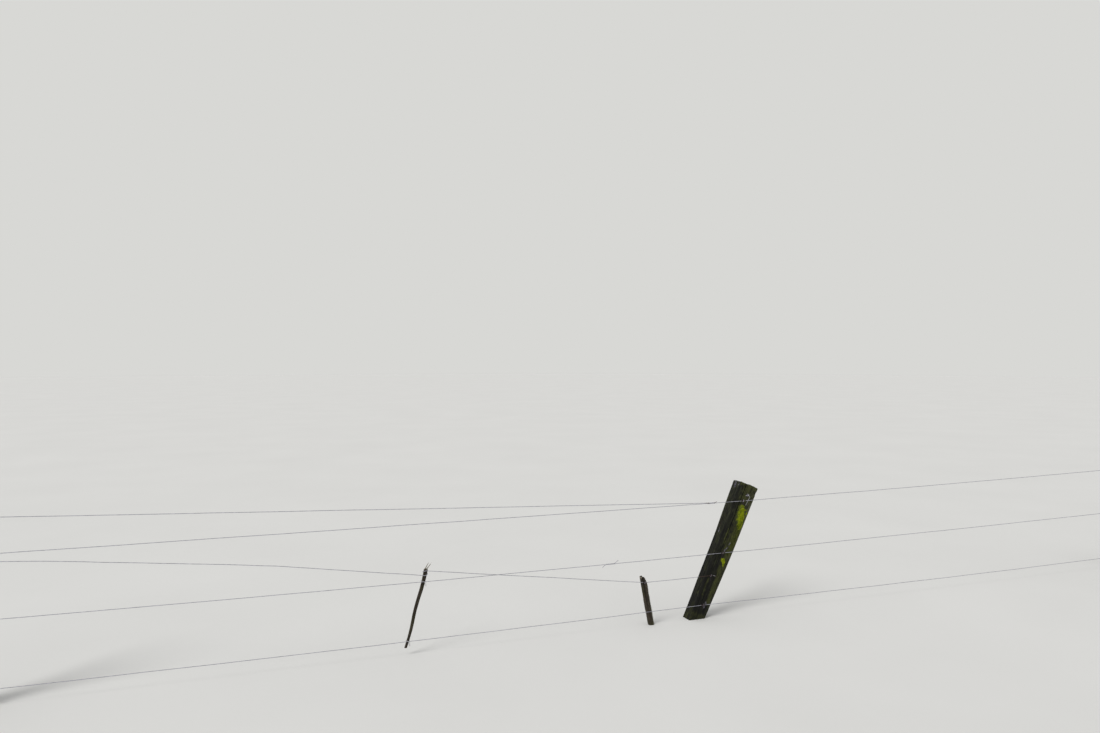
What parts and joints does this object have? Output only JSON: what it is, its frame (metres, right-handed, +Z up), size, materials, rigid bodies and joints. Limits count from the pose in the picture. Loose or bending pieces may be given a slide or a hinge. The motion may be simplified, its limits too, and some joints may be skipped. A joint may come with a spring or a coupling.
{
  "type": "post and wire fence",
  "caption": "Two bays of an old post-and-wire farm fence with a leaning split post, slack and joined wires, a loose batten and a broken stake.",
  "frame": {"origin": "middle of the leaning post's foot at ground level", "axes": "+X along the fence towards the right end post, +Y to the fence's back, +Z up"},
  "size_m": [10.2035, 0.1384, 1.2553],
  "materials": {
    "split_post_wood": "riven, weathered grey-brown, with lichen and moss",
    "stick_wood": "split, dark and weathered",
    "fence_wire": "galvanised, dull and weathered",
    "tie_wire": "galvanised, dull",
    "staple_steel": "rusted"
  },
  "bodies": {
    "root": {"leaning_post": "split_post_wood", "left_post": "split_post_wood", "right_post": "split_post_wood", "upper_wire": "fence_wire", "top_wire": "fence_wire", "slack_wire": "fence_wire", "middle_wire_left": "fence_wire", "middle_wire_right": "fence_wire", "bottom_wire": "fence_wire", "upper_staple": "staple_steel", "middle_staple": "staple_steel", "slack_staple": "staple_steel", "bottom_staple": "staple_steel", "drawn_staple": "staple_steel", "cut_tie": "tie_wire", "left_top_staple": "staple_steel", "left_upper_staple": "staple_steel", "left_slack_staple": "staple_steel", "left_middle_staple": "staple_steel", "left_bottom_staple": "staple_steel", "right_upper_staple": "staple_steel", "right_middle_staple": "staple_steel", "right_bottom_staple": "staple_steel", "batten": "stick_wood", "batten_middle_tie": "tie_wire", "batten_bottom_tie": "tie_wire", "broken_stake": "stick_wood", "stake_staple": "staple_steel"}
  },
  "joints": []
}
